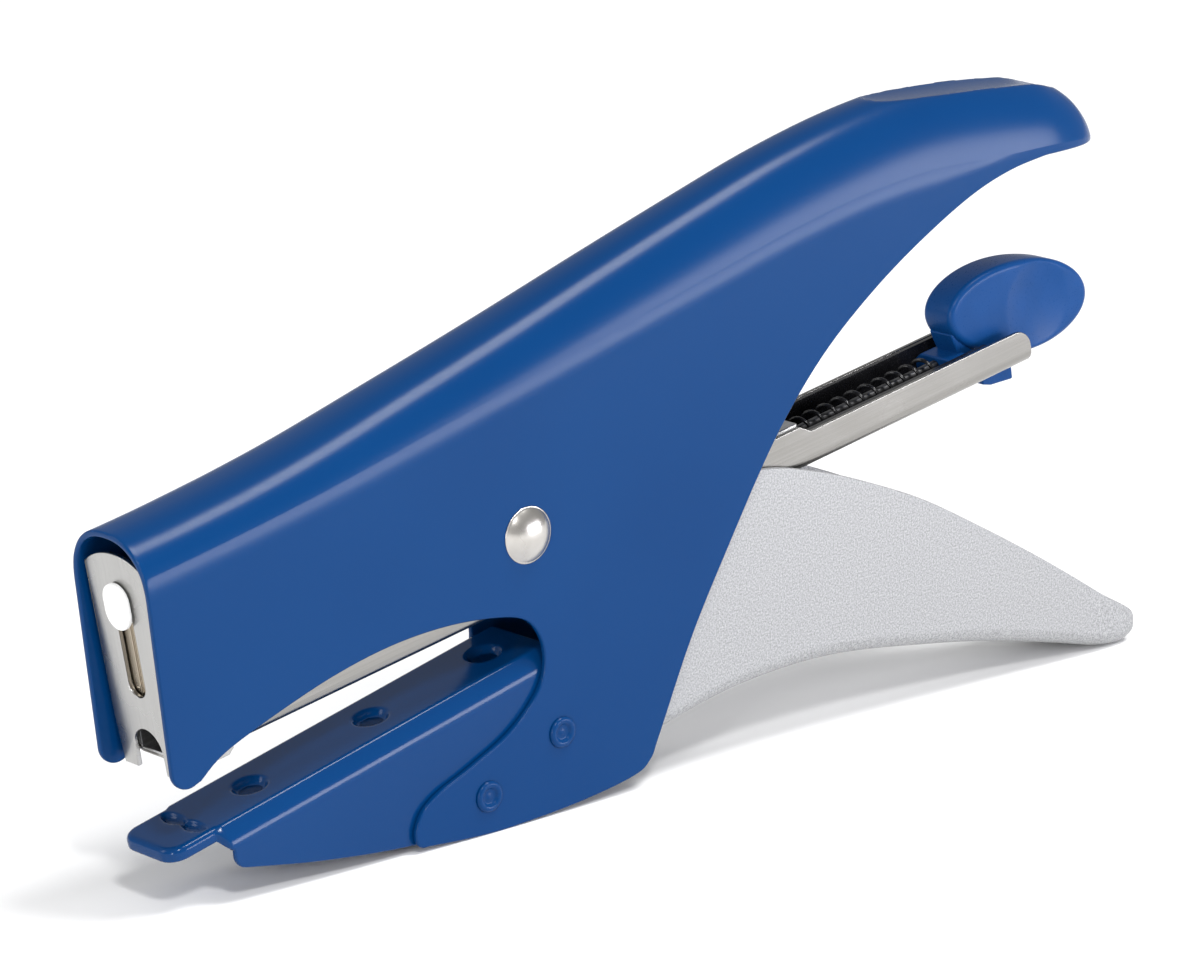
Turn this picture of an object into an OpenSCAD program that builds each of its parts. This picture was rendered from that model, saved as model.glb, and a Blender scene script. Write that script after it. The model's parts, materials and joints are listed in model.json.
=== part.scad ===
// Hand-operated stapling plier for flat 11.5 mm staples, at rest with its handles open.
// Millimetres. X runs from the nose to the handles, Z is up, the base stands on Z = 0.
// Most shapes are drawn about the axis of the main rivet and moved into place at the end.

/* [Overall] */
// Outside width of the pressed housing
housing_w = 18; // [16:0.5:22]
// Sheet thickness of the housing and the anvil arm
sheet_t = 1; // [0.8:0.1:1.4]
// Height of the main rivet above the base
pivot_h = 44.65; // [42:0.05:48]
// Distance from the main rivet forward to the nose edge, at the height of the rivet
nose_reach = 69.2; // [66:0.2:72]
// Distance the main rivet stands ahead of the middle of the length
pivot_ahead = 30.46; // [28:0.01:33]

/* [Main rivet] */
// Radius of the rivet shank
rivet_r = 2.5; // [2:0.1:3]
// Radius of the domed rivet head
rivet_head_r = 4.4; // [4:0.1:5]
// Height of the domed rivet head
rivet_head_h = 1.9; // [1:0.1:2.5]
// Running clearance round the shank, on the radius
run_gap = 0.05; // [0.02:0.01:0.1]

/* [Anvil arm] */
// Slope of the flat top of the anvil arm
anvil_ang = 13.1; // [12:0.1:15]
// Distance from the rivet axis down to the plane of the flat top
anvil_drop = 19.05; // [18:0.05:20]
// Half width of the flat top
anvil_flat = 5.9; // [4.5:0.1:6.5]
// Radius of the pressed dimples
dimple_r = 3; // [2:0.1:4]

/* [Magazine] */
// Slope of the magazine at rest
mag_ang = 9.8; // [8:0.1:12]
// Outside half width of the magazine channel
mag_half = 6.5; // [6:0.1:7]
// Sheet thickness of the magazine channel
mag_t = 0.7; // [0.5:0.1:1]
// Distance from the rivet axis down to the underside of the channel
mag_low = 11.9; // [11:0.1:13]
// Distance from the rivet axis back to the rear end of the channel
mag_rear = 107.6; // [100:0.1:115]
// Distance from the rivet axis forward to the face of the nose plate
nose_face = 66.8; // [66:0.1:68]

/* [Lever] */
// Outside half width of the lever
lever_half = 7.8; // [7.5:0.1:7.9]
// Sheet thickness of the lever
lever_t = 1; // [0.8:0.1:1.2]

/* [Pusher] */
// Half thickness of the finger knob
knob_half = 3.3; // [2.5:0.1:4]
// Radius of the guide rod
rod_r = 0.9; // [0.7:0.1:1.1]

/* [Hidden] */
hw = housing_w / 2;
liner = hw - sheet_t;
// longer than anything it has to cut across the part
cut_w = 60;
// height of the guide rod in the frame of the magazine
ax_v = -8.35;
// drive pin in the frame of the magazine
pin_at = [-58, 4];
pin_r = 1.5;
// ring rivets of the anvil arm
clinch_at = [[5.9, -31.9], [-8.6, -38.7]];
clinch_r = 1.45;
// fin of the finger knob: middle, half length, half height and tilt
knob_at = [109.8, -3.9];
knob_long = 16;
knob_high = 7.6;
knob_tilt = 13;
// half width of the hook's stem, which runs in a slot of the channel's floor
hook_half = 1.8;
// sphere that dishes the sides of the fin
dish_at = [113.5, -4.6];
dish_r = 28.2;
dish_depth = 1;
// coils of the follower spring
coil_n = 40;
coil_step = 3.05;
coil_r = 2;
coil_wire = 0.33;

// ---------- shared helpers ----------

function cr(a, b, c, d, t) = 0.5 * (2 * b + (c - a) * t + (2 * a - 5 * b + 4 * c - d) * t * t
    + (3 * b - a - 3 * c + d) * t * t * t);

function spline(p, n) = concat([for (i = [0 : len(p) - 2]) for (k = [0 : n - 1])
    cr(p[max(i - 1, 0)], p[i], p[i + 1], p[min(i + 2, len(p) - 1)], k / n)], [p[len(p) - 1]]);

function arc(c, r, a0, a1, n) = [for (k = [0 : n]) let (a = a0 + (a1 - a0) * k / n)
    [c[0] + r * cos(a), c[1] + r * sin(a)]];

function pw(v, e) = v <= 0 ? 0 : pow(v, e);

// side view polygon given a depth across the part
module across(w) {
    rotate([90, 0, 0]) linear_extrude(height = w, center = true) children();
}

module bar_y(x, z, r, w) {
    translate([x, 0, z]) rotate([90, 0, 0]) cylinder(h = w, r = r, center = true, $fn = 48);
}

// frame of the magazine: X along it, Z normal to it, origin on the rivet axis
module in_mag() {
    rotate([0, -mag_ang, 0]) children();
}

// frame of the anvil's flat top: X along it, Z normal, origin below the rivet
module in_anvil() {
    rotate([0, -anvil_ang, 0]) translate([0, 0, -anvil_drop]) children();
}

// section in Y and Z drawn along X
module along(x0, x1) {
    translate([x0, 0, 0]) rotate([90, 0, 90]) linear_extrude(height = x1 - x0) children();
}

// closed ring sections joined into one solid, ring points paired across its middle
module loft(rings) {
    n = len(rings);
    m = len(rings[0]);
    h = m / 2;
    pts = [for (r = rings) for (p = r) p];
    side = [for (i = [0 : n - 2]) for (j = [0 : m - 1]) let (q = (j + 1) % m)
        each [[i * m + j, i * m + q, (i + 1) * m + q], [i * m + j, (i + 1) * m + q, (i + 1) * m + j]]];
    b = (n - 1) * m;
    head = [for (k = [0 : h - 2]) each [[k + 1, k, m - 1 - k], [k + 1, m - 1 - k, m - 2 - k]]];
    tail = [for (k = [0 : h - 2]) each [[b + k, b + k + 1, b + m - 2 - k],
        [b + k, b + m - 2 - k, b + m - 1 - k]]];
    polyhedron(points = pts, faces = concat(side, head, tail), convexity = 8);
}

// ---------- housing ----------

// rows of the upper skin: X, crest height, depth of the rounding, half width
crest = [[-76, 11.7, 5.5, hw], [-60, 14.6, 5.5, hw], [-40, 19.3, 6, hw], [-20, 25.2, 7, hw],
    [0, 31.3, 8, hw], [20, 37.7, 9.2, hw], [40, 43.9, 10.2, hw], [55, 48.3, 10.8, hw],
    [70, 51.7, 11.2, hw], [84, 53.6, 11.7, hw - 0.1], [97, 53.8, 12, hw - 0.2],
    [109, 52.4, 10.6, hw - 0.5], [114.6, 50.5, 8.9, hw - 1], [118.9, 48.1, 6.8, hw - 2],
    [121.7, 45.5, 4.5, hw - 3.5], [123.2, 43.1, 2.4, hw - 5], [123.7, 41.4, 0.9, hw - 6]];

// pressed thumb rest on the crest
function rest_dip(x, y) = let (s = (x - 76) / 46, q = 1 - pow(y / 6.4, 2))
    (s <= 0 || s >= 1 || q <= 0) ? 0 : 1.2 * pow(sin(180 * s), 0.6) * min(1, 2 * q);

function skin(r, w, d, low) = let (zr = r[1] - r[2], n = 12) concat([[r[0], -w, low]],
    [for (k = [0 : n]) let (a = 180 * k / n, c = cos(a), y = -w * sign(c) * pw(abs(c), 0.85))
        [r[0], y, zr + d * pw(sin(a), 0.85) - rest_dip(r[0], y)]], [[r[0], w, low]]);

function back_order(v) = [for (i = [len(v) - 1 : -1 : 0]) v[i]];

function housing_ring(r) = concat(skin(r, r[3], r[2], -50),
    back_order(skin(r, max(r[3] - sheet_t, 0.2), max(r[2] - sheet_t, 0.1), -50)));

// the front edge leans back toward the foot
function nose_x(z) = -nose_reach - 0.1173 * z;

// outline of the lower edge, from the nose round the throat and the skirt to the handle end
throat_edge = spline([[-61.6, -24.2], [-56.6, -20.7], [-44, -16], [-34, -13.1], [-24.5, -11.4],
    [-15, -10.9], [-6, -11.6], [-0.6, -13.1], [2.2, -16.4], [2.9, -20.6], [1.2, -25],
    [-4.2, -29.8], [-12.4, -33.7], [-17.8, -35.9], [-21.2, -38.3], [-22.6, -41]], 4);
belly_edge = spline([[-20.2, -43.9], [-12, -44.5], [-4, -44.6], [9, -43.8], [20, -42.2],
    [23.6, -40.3], [25.6, -36.6], [32.4, -22.6], [40, -10], [48.4, 3], [55, 11.3], [62.4, 18.6],
    [72, 25.7], [82, 31.6], [92.4, 36.6], [101, 39.2], [109, 40.3]], 3);

module below_edge() {
    polygon(concat([[-95, -70], [-95, 30], [nose_x(30), 30], [nose_x(-20), -20]],
        arc([-63.9, -22], 2.9, 186, 300, 8), throat_edge, arc([-20.6, -42], 2, 180, 250, 5),
        belly_edge, [[140, 40.3], [140, -70]]));
}

module housing_shell() {
    color([0.06, 0.28, 0.54]) difference() {
        loft([for (r = spline(crest, 4)) housing_ring(r)]);
        across(cut_w) below_edge();
        bar_y(0, 0, rivet_r + run_gap, cut_w);
        for (p = clinch_at) bar_y(p[0], p[1], clinch_r, cut_w);
    }
}

// ---------- anvil arm ----------

module anvil_side() {
    polygon(concat([[-69, -28], [-69, -37.8], [-56.6, -34.9], [-55.6, -35.4], [-55.2, -37.4]],
        arc([-52.9, -37.2], 2.2, 190, 262, 5),
        spline([[-48, -40.4], [-40.7, -41.6], [-30, -42.9], [-20, -43.6], [-8, -43.9],
            [4, -43.5], [11, -42.2], [15, -39.4], [16, -35.5], [13.6, -27.5], [9.4, -20.4]], 4),
        [[6, -17], [6, -10]]));
}

module anvil_plan() {
    polygon(concat([[20, hw], [-61.9, hw], [-62.4, 6.5]], arc([-69, 3.4], 2.9, 95, 180, 6),
        arc([-69, -3.4], 2.9, 180, 265, 6), [[-62.4, -6.5], [-61.9, -hw], [20, -hw]]));
}

module anvil_section() {
    w = liner;
    f = anvil_flat;
    t = sheet_t;
    polygon([[-w, -30], [-w, -3], [-w + 0.3, -2.3], [-f - 0.5, -0.25], [-f, 0], [f, 0],
        [f + 0.5, -0.25], [w - 0.3, -2.3], [w, -3], [w, -30], [w - t, -30], [w - t, -3.3],
        [f - 0.1, -t - 0.1], [-f + 0.1, -t - 0.1], [-w + t, -3.3], [-w + t, -30]]);
}

module anvil_arm() {
    color([0.05, 0.22, 0.5]) difference() {
        intersection() {
            in_anvil() along(-72.4, 8) anvil_section();
            across(cut_w) anvil_side();
            in_anvil() translate([0, 0, -40]) linear_extrude(height = 60) anvil_plan();
        }
        in_anvil() for (s = [-52, -28.6, -6.1])
            translate([s, 0, dimple_r * 1.3]) sphere(r = dimple_r * 1.3 + 0.7, $fn = 40);
        in_anvil() for (q = [-1, 1]) translate([-64.5, q * 2.5, 3.6]) rotate([0, 90, 0])
            cylinder(h = 1.7, r = 4.2, center = true, $fn = 64);
        for (p = clinch_at) bar_y(p[0], p[1], clinch_r, cut_w);
    }
}

// pressed ring rivets that hold the arm in the skirts
module clinch_rivets() {
    color([0.06, 0.28, 0.54]) for (p = clinch_at) for (s = [-1, 1])
        translate([p[0], s * hw, p[1]]) rotate([s * -90, 0, 0]) rotate_extrude($fn = 40)
            polygon([[0, -2.4], [2.1, -2.4], [2.1, -2], [1.4, -2], [1.4, 0], [2.45, 0],
                [2.3, 0.45], [1.9, 0.6], [1.4, 0.5], [1.1, 0.15], [0, 0.1]]);
}

// ---------- main pivot ----------

module pivot_rivet() {
    h = rivet_head_h;
    r = rivet_head_r;
    R = (r * r + h * h) / (2 * h);
    a = asin(r / R);
    dome = [for (k = [0 : 10]) let (b = a * (1 - k / 10)) [R * sin(b), hw + h - R + R * cos(b)]];
    color([0.75, 0.74, 0.72]) rotate([90, 0, 0]) rotate_extrude($fn = 48)
        polygon(concat([[rivet_r, 0], [rivet_r, hw]], dome, [for (i = [10 : -1 : 0])
            [dome[i][0], -dome[i][1]]], [[rivet_r, -hw]]));
}

module pivot_spacer() {
    color([0.6, 0.6, 0.6]) rotate([90, 0, 0]) difference() {
        cylinder(h = 2 * (mag_half - mag_t) - 0.3, r = 3.1, center = true, $fn = 40);
        cylinder(h = 30, r = rivet_r + run_gap, center = true, $fn = 40);
    }
}

// ---------- lever ----------

// rows of the lower grip: X, top edge, underside, half width
grip = [[25, 1.5, -37.6, lever_half], [33, 1.4, -35.6, lever_half], [42, 1.1, -33.9, lever_half],
    [52, 0, -33, lever_half], [62, -2.7, -32.9, lever_half], [72, -6.4, -33.8, lever_half],
    [83, -11.2, -35.4, lever_half], [95, -17.8, -37.4, lever_half],
    [107, -24.8, -40, lever_half], [116, -30.4, -42.2, lever_half],
    [123, -34.9, -44, lever_half - 0.1], [128, -37.7, -44.65, lever_half - 0.4],
    [130.6, -39.4, -44.1, lever_half - 0.9], [131.6, -41, -42.9, lever_half - 1.5]];

function cup(r, w, top, low, rc) = let (q = min(rc, w - 0.05, (top - low) / 2), n = 5) concat(
    [[r[0], -w, top]], [for (k = [0 : n]) let (a = 180 + 90 * k / n)
        [r[0], -w + q + q * cos(a), low + q + q * sin(a)]],
    [for (k = [0 : n]) let (a = 270 + 90 * k / n) [r[0], w - q + q * cos(a), low + q + q * sin(a)]],
    [[r[0], w, top]]);

function grip_ring(r) = let (t = lever_t) back_order(concat(cup(r, r[3], r[1], r[2], 2.6),
    back_order(cup(r, max(r[3] - t, 0.6), r[1], min(r[2] + t, r[1] - 0.3), 1.8))));

module lever_plate() {
    difference() {
        union() {
            polygon(concat(arc([0, 0], 9, 110, 205, 12), [[9.5, -12], [17.5, -26], [21.6, -38.1],
                [23.5, -38.3], [27, -37.3], [36, -30], [36, 1.3], [20, 3.6], [9, 6.4]]));
            rotate(mag_ang) polygon(concat(arc(pin_at, 4, 90, 270, 12),
                [[-40, -0.6], [-8, -4], [0, -4], [0, 9], [-8, 8.6], [-40, 8]]));
        }
        circle(r = rivet_r + run_gap + 0.6, $fn = 48);
        rotate(mag_ang) translate(pin_at) circle(r = pin_r, $fn = 32);
    }
}

module lever_handle() {
    color([0.72, 0.73, 0.73]) union() {
        loft([for (r = spline(grip, 3)) grip_ring(r)]);
        for (s = [-1, 1]) translate([0, s * (lever_half - lever_t / 2), 0])
            across(lever_t) lever_plate();
    }
}

// thin bearing bushes in the two lever plates
module lever_bushes() {
    color([0.6, 0.5, 0.3]) for (s = [-1, 1]) translate([0, s * (lever_half - lever_t / 2), 0])
        rotate([90, 0, 0]) difference() {
            cylinder(h = lever_t, r = rivet_r + run_gap + 0.6, center = true, $fn = 48);
            cylinder(h = 9, r = rivet_r + run_gap, center = true, $fn = 48);
        }
}

module drive_pin() {
    color([0.7, 0.7, 0.68]) in_mag() bar_y(pin_at[0], pin_at[1], pin_r, 2 * lever_half);
}

// ---------- driver ----------

blade_x = -nose_face + 0.95;

module driver_blade() {
    color([0.55, 0.53, 0.48]) in_mag() difference() {
        translate([blade_x, -5.6, -6.4]) cube([0.6, 11.2, 23.4]);
        translate([blade_x - 0.3, -0.3, -5]) cube([0.55, 0.6, 21]);
    }
}

module driver_carrier() {
    color([0.4, 0.4, 0.4]) in_mag() difference() {
        translate([blade_x + 0.6, -3.4, 0]) cube([9.6, 6.8, 12.5]);
        bar_y(pin_at[0] - 0.1, pin_at[1], pin_r + 0.25, 20);
        translate([-61.5, -2, 8.2]) cube([8, 4, 6]);
    }
}

module driver_button() {
    color([0.94, 0.94, 0.93]) in_mag() union() {
        translate([-nose_face - 1.25, 0, 13]) rotate([0, 90, 0]) linear_extrude(height = 1.2)
            polygon(concat(arc([-0.9, 0], 2.7, 90, 270, 12), arc([0.9, 0], 2.7, -90, 90, 12)));
        translate([-nose_face - 0.1, -1.8, 10.4]) cube([1.05, 3.6, 3.8]);
    }
}

// ---------- magazine ----------

module channel_section(top) {
    w = mag_half;
    t = mag_t;
    r = 1.4;
    polygon(concat([[-w, top]], arc([-w + r, -mag_low + r], r, 180, 270, 5),
        arc([w - r, -mag_low + r], r, 270, 360, 5), [[w, top], [w - t, top]],
        arc([w - r, -mag_low + r], r - t, 360, 270, 4), arc([-w + r, -mag_low + r], r - t, 270, 180, 4),
        [[-w + t, top]]));
}

module channel_side() {
    difference() {
        polygon(concat([[-nose_face + 0.8, -15], [-nose_face + 0.8, -4.6], [-9, -4.6], [-6.4, 1]],
            arc([0, 0], 6.5, 170, 10, 14), [[9, -4.6], [57.4, -4.6], [59.6, -6]],
            arc([mag_rear - 3, -9], 3, 90, 0, 6), [[mag_rear, -15]]));
        circle(r = rivet_r + run_gap, $fn = 48);
    }
}

module magazine_channel() {
    color([0.76, 0.74, 0.7]) in_mag() difference() {
        intersection() {
            along(-nose_face, mag_rear + 5) channel_section(8);
            across(cut_w) channel_side();
        }
        translate([-nose_face, -mag_half + mag_t + 0.1, -14]) cube([2, 2 * (mag_half - mag_t - 0.1), 8]);
        translate([101.4, -hook_half - 0.3, -14]) cube([10, 2 * hook_half + 0.6, 4]);
    }
}

module nose_plate() {
    color([0.8, 0.79, 0.77]) in_mag() union() {
        translate([-nose_face, 0, 0]) rotate([90, 0, 90]) linear_extrude(height = 0.8) difference() {
            polygon(concat([[-6.5, -13.2], [6.5, -13.2], [7.1, -6], [7.1, 18.6]],
                arc([0, 8.9], 12, 54, 126, 10), [[-7.1, 18.6], [-7.1, -6]]));
            polygon(concat(arc([0, 14.2], 2, 0, 180, 10), arc([0, 0.5], 2, 180, 360, 10)));
            polygon(concat([[3.3, -15], [3.3, -9.9]], arc([0, -9.9], 3.3, 0, 180, 12), [[-3.3, -15]]));
        }
        for (s = [-1, 1]) translate([-nose_face + 0.7, s * (mag_half + 0.35) - 0.35, -12.4])
            cube([9, 0.7, 4.2]);
    }
}

// open tray section with its lower corners cut to clear the bends of the channel
module rail_section(w, t, top, base) {
    c = 0.75;
    polygon([[-w, top], [-w, base + c], [-w + c, base], [w - c, base], [w, base + c], [w, top],
        [w - t, top], [w - t, base + 0.4], [-w + t, base + 0.4], [-w + t, top]]);
}

module core_rail() {
    color([0.5, 0.5, 0.5]) in_mag()
        along(-nose_face + 1.75, -6.5) rail_section(4.8, 0.8, -7.5, -mag_low + mag_t);
}

module magazine_cover() {
    w = mag_half - mag_t - 0.02;
    color([0.6, 0.6, 0.61]) in_mag() intersection() {
        along(-52, 64) polygon([[-w, -6.3], [-w, -4.7], [-w + 0.4, -4.3], [w - 0.4, -4.3],
            [w, -4.7], [w, -6.3], [w - 0.4, -6.3], [w - 0.4, -4.9], [-w + 0.4, -4.9],
            [-w + 0.4, -6.3]]);
        across(cut_w) polygon([[-53, -3], [-53, -6.3], [55.4, -6.3], [59.4, -3]]);
    }
}

// glued strip of staples, legs down over the rail
module staple_strip() {
    color([0.75, 0.75, 0.76]) in_mag() along(-nose_face + 1.7, -39)
        polygon([[-5.65, -10.7], [-5.65, -7.1], [-5.35, -6.8], [5.35, -6.8], [5.65, -7.1],
            [5.65, -10.7], [5.1, -10.7], [5.1, -7.35], [-5.1, -7.35], [-5.1, -10.7]]);
}

// wrapped spring that lifts the driver off the magazine
module return_spring() {
    color([0.3, 0.3, 0.31]) in_mag() union() {
        for (y = [-4.2, -3.1, 3.1, 4.2]) translate([0, y, 0]) rotate([90, 0, 0])
            rotate_extrude($fn = 32) translate([3.65, 0]) circle(r = 0.45, $fn = 12);
        for (s = [-1, 1]) {
            translate([0, s * 3.65, -3.65]) rotate([0, -90, 0])
                cylinder(h = 36, r = 0.45, $fn = 13);
            translate([0, s * 4.2, 3.65]) rotate([0, -91.6, 0])
                cylinder(h = 60.5, r = 0.45, $fn = 13);
        }
        translate([-36, 0, -3.65]) rotate([90, 0, 0])
            cylinder(h = 8.2, r = 0.45, center = true, $fn = 13);
    }
}

// ---------- pusher ----------

module pusher_rail() {
    color([0.06, 0.06, 0.07]) in_mag() union() {
        along(-6.2, 58.6) rail_section(4.8, 0.8, -7.5, -mag_low + mag_t + 0.02);
        along(58.4, 99) rail_section(5.7, 0.8, -6.1, -mag_low + mag_t + 0.02);
    }
}

module guide_rod() {
    color([0.45, 0.45, 0.46]) in_mag() translate([-36, 0, ax_v]) rotate([0, 90, 0])
        cylinder(h = 128.6, r = rod_r, $fn = 24);
}

module thumb_knob() {
    n = 40;
    ct = cos(knob_tilt);
    st = sin(knob_tilt);
    fin = [for (k = [0 : n - 1]) let (p = knob_long * cos(360 * k / n), q = knob_high * sin(360 * k / n))
        [knob_at[0] + p * ct + q * st, knob_at[1] - p * st + q * ct]];
    color([0.12, 0.3, 0.62]) in_mag() difference() {
        union() {
            across(2 * knob_half) difference() {
                polygon(fin);
                polygon([[80, -20], [80, -11.1], [mag_rear + 0.3, -11.1], [mag_rear + 0.3, -20]]);
            }
            across(5) polygon([[94.4, -3.4], [95.2, -6], [96, -8], [96, -10.7], [104, -10.7], [104, -4]]);
            across(2 * hook_half) polygon([[101.8, -10.5], [101.8, -12.5], [105.6, -12.5], [105.6, -10.5]]);
            across(2 * knob_half)
                polygon([[99.2, -12], [99.2, -13.5], [101, -14.2], [105.8, -14.8], [105.9, -12]]);
            along(92.6, 96.4) polygon([[-4.7, -10.65], [-4.7, -8], [-3.2, -6.9], [3.2, -6.9],
                [4.7, -8], [4.7, -10.65]]);
        }
        for (s = [-1, 1]) translate([dish_at[0], s * (knob_half + dish_r - dish_depth), dish_at[1]])
            sphere(r = dish_r, $fn = 64);
        translate([92, 0, ax_v]) rotate([0, 90, 0]) cylinder(h = 0.62, r = 0.95, $fn = 24);
    }
}

module follower_shoe() {
    color([0.12, 0.12, 0.13]) in_mag() difference() {
        union() {
            along(-38.8, -28) polygon([[-5.65, -10.9], [-5.65, -6.4], [5.65, -6.4], [5.65, -10.9],
                [4.95, -10.9], [4.95, -7.3], [-4.95, -7.3], [-4.95, -10.9]]);
            along(-30.4, -28) polygon([[-3.7, -7.2], [-3.7, -10.6], [3.7, -10.6], [3.7, -7.2]]);
        }
        translate([-32, 0, ax_v]) rotate([0, 90, 0]) cylinder(h = 6, r = rod_r + 0.15, $fn = 24);
    }
}

// compression spring round the guide rod, drawn as separate ring coils
module follower_spring() {
    color([0.1, 0.1, 0.11]) in_mag() for (i = [0 : coil_n - 1])
        translate([-27.4 + coil_step * i, 0, ax_v]) rotate([0, 90, 0]) rotate_extrude($fn = 24)
            translate([coil_r, 0]) circle(r = coil_wire, $fn = 8);
}

// ---------- placing ----------

module placed() {
    translate([-pivot_ahead, 0, pivot_h]) children();
}

placed() housing_shell();
placed() anvil_arm();
placed() clinch_rivets();
placed() pivot_rivet();
placed() pivot_spacer();
placed() lever_handle();
placed() lever_bushes();
placed() drive_pin();
placed() driver_blade();
placed() driver_carrier();
placed() driver_button();
placed() magazine_channel();
placed() nose_plate();
placed() core_rail();
placed() magazine_cover();
placed() staple_strip();
placed() return_spring();
placed() pusher_rail();
placed() guide_rod();
placed() thumb_knob();
placed() follower_shoe();
placed() follower_spring();
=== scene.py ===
"""Looks of the stapling plier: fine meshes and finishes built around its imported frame.

Shapes are drawn in millimetres about the axis of the main rivet, X to the handles and Z up,
or in the frames of the magazine and of the anvil arm, and are placed in metres at the end.
"""

import json
import math
import random

import bmesh
import bpy
from mathutils import Matrix, Vector


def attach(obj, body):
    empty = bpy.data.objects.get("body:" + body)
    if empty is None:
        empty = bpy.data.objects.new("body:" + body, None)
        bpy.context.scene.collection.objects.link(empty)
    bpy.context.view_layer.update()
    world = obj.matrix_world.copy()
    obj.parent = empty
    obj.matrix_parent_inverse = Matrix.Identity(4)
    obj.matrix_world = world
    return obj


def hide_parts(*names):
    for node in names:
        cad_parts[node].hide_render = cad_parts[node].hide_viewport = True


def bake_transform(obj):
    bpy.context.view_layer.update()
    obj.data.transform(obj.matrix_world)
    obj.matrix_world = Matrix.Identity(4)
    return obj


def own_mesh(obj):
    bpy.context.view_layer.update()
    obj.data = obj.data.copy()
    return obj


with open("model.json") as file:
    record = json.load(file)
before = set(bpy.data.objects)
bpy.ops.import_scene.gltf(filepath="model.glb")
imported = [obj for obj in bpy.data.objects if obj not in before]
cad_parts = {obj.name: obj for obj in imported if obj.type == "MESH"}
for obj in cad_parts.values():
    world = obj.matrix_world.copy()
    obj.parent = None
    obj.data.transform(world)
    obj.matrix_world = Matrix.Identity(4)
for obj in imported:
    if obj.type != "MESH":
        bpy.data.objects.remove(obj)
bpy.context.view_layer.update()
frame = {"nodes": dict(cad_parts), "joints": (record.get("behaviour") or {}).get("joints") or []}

# ---------- frames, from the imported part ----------

MM = 0.001
# slope of the anvil arm, and how far its flat lies below the rivet across that slope
ANVIL_ANG = math.radians(13.1)
ANVIL_DROP = 19.05
JOINTS = {j["name"]: j for j in frame["joints"]}
PIVOT = Vector(JOINTS["lever_squeeze"]["pos_m"])
DOWN_NOSE = Vector(JOINTS["driver_drop"]["axis"])
MAG_ANG = math.atan2(DOWN_NOSE.x, -DOWN_NOSE.z)

ABOUT_RIVET = Matrix.Translation(PIVOT) @ Matrix.Scale(MM, 4)
IN_MAG = ABOUT_RIVET @ Matrix.Rotation(-MAG_ANG, 4, "Y")
IN_ANVIL = (ABOUT_RIVET @ Matrix.Rotation(-ANVIL_ANG, 4, "Y")
            @ Matrix.Translation((0, 0, -ANVIL_DROP)))

# ---------- sizes in millimetres ----------

# half width of the housing, and thickness of the painted sheets
HALF = 9.0
SHEET = 1.0
# rows of the upper skin: X, crest height, depth of the rounding, half width
CREST = [(-76, 11.7, 5.5, HALF), (-60, 14.6, 5.5, HALF), (-40, 19.3, 6, HALF),
         (-20, 25.2, 7, HALF), (0, 31.3, 8, HALF), (20, 37.7, 9.2, HALF),
         (40, 43.9, 10.2, HALF), (55, 48.3, 10.8, HALF), (70, 51.7, 11.2, HALF),
         (84, 53.6, 11.7, 8.9), (97, 53.8, 12, 8.8), (109, 52.4, 10.6, 8.5),
         (114.6, 50.5, 8.9, 8), (118.9, 48.1, 6.8, 7), (121.7, 45.5, 4.5, 5.5),
         (123.2, 43.1, 2.4, 4), (123.7, 41.4, 0.9, 3)]
# lower edge of the housing: the throat and the front of the skirt, then the belly and handle
THROAT = [(-61.6, -24.2), (-56.6, -20.7), (-44, -16), (-34, -13.1), (-24.5, -11.4),
          (-15, -10.9), (-6, -11.6), (-0.6, -13.1), (2.2, -16.4), (2.9, -20.6), (1.2, -25),
          (-4.2, -29.8), (-12.4, -33.7), (-17.8, -35.9), (-21.2, -38.3), (-22.6, -41)]
BELLY = [(-20.2, -43.9), (-12, -44.5), (-4, -44.6), (9, -43.8), (20, -42.2), (23.6, -40.3),
         (25.6, -36.6), (32.4, -22.6), (40, -10), (48.4, 3), (55, 11.3), (62.4, 18.6),
         (72, 25.7), (82, 31.6), (92.4, 36.6), (101, 39.2), (109, 40.3)]
# underside of the handle's end: height where the belly ends, then a drop over a length
HANDLE_LOW = 40.3
HANDLE_DROP, HANDLE_LONG = 0.4, 20
# rows of the lower grip: X, top edge, underside, half width
GRIP = [(25, 1.5, -37.6, 7.8), (33, 1.4, -35.6, 7.8), (42, 1.1, -33.9, 7.8), (52, 0, -33, 7.8),
        (62, -2.7, -32.9, 7.8), (72, -6.4, -33.8, 7.8), (83, -11.2, -35.4, 7.8),
        (95, -17.8, -37.4, 7.8), (107, -24.8, -40, 7.8), (116, -30.4, -42.2, 7.8),
        (123, -34.9, -44, 7.7), (128, -37.7, -44.65, 7.4), (130.6, -39.4, -44.1, 6.9),
        (131.6, -41, -42.9, 6.3)]
# middles of the ring rivets, and of the drive pin in the frame of the magazine
CLINCH = ((5.9, -31.9), (-8.6, -38.7))
PIN = (-58, 4)
# magazine channel: half width, underside and rear end
MAG_HALF = 6.5
MAG_LOW = -11.9
MAG_REAR = 107.6
# front face of the nose plate, and height of the guide rod
NOSE_U = -66.8
ROD_V = -8.35

# ---------- small geometry helpers ----------


def spline(points, steps):
    """Catmull-Rom curve through the points, with that many steps between two of them."""
    out = []
    for i in range(len(points) - 1):
        near = [points[max(i - 1, 0)], points[i], points[i + 1],
                points[min(i + 2, len(points) - 1)]]
        for k in range(steps):
            t = k / steps
            out.append(tuple(
                0.5 * (2 * b + (c - a) * t + (2 * a - 5 * b + 4 * c - d) * t * t
                       + (3 * b - a - 3 * c + d) * t ** 3)
                for a, b, c, d in zip(*near)))
    return out + [tuple(points[-1])]


def arc(centre, radius, start, end, steps):
    """Points of an arc, with angles in degrees."""
    angles = [math.radians(start + (end - start) * k / steps) for k in range(steps + 1)]
    return [(centre[0] + radius * math.cos(a), centre[1] + radius * math.sin(a))
            for a in angles]


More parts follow.
